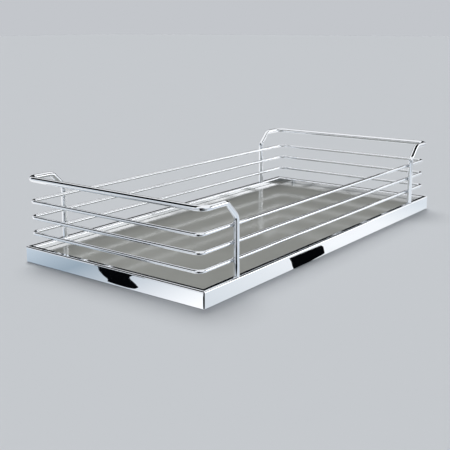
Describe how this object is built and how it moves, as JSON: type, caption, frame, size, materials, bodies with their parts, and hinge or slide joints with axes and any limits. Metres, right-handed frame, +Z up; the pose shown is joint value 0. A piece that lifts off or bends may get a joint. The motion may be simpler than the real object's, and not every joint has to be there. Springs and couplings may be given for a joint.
{
  "type": "corner unit gallery tray",
  "caption": "Storage tray of a kitchen corner pull-out: chromed tube frame, grey laminated base and a wire gallery with raised end hoops.",
  "frame": {"origin": "centre of the underside, on the surface that the tray stands on", "axes": "+X along the long sides, +Y across the tray, +Z up"},
  "size_m": [0.5, 0.25, 0.096],
  "materials": {
    "chrome": "bright chrome plating on steel tube, bar and wire",
    "decor": "mid grey melamine decor film, satin",
    "core": "particle board",
    "backing": "grey melamine balancing film, matt",
    "band": "grey ABS edge band, satin",
    "fastener": "bright zinc plating"
  },
  "bodies": {
    "root": {"bearer_left": "chrome", "bearer_middle": "chrome", "bearer_right": "chrome", "board_backing": "backing", "board_core": "core", "board_screws": "fastener", "board_top_film": "decor", "edge_band_front": "band", "edge_band_left": "band", "edge_band_rear": "band", "edge_band_right": "band", "fixing_nuts": "fastener", "frame_front": "chrome", "frame_left": "chrome", "frame_rear": "chrome", "frame_right": "chrome", "hoop_left": "chrome", "hoop_right": "chrome", "rail_lower": "chrome", "rail_middle": "chrome", "rail_upper": "chrome"}
  },
  "joints": []
}
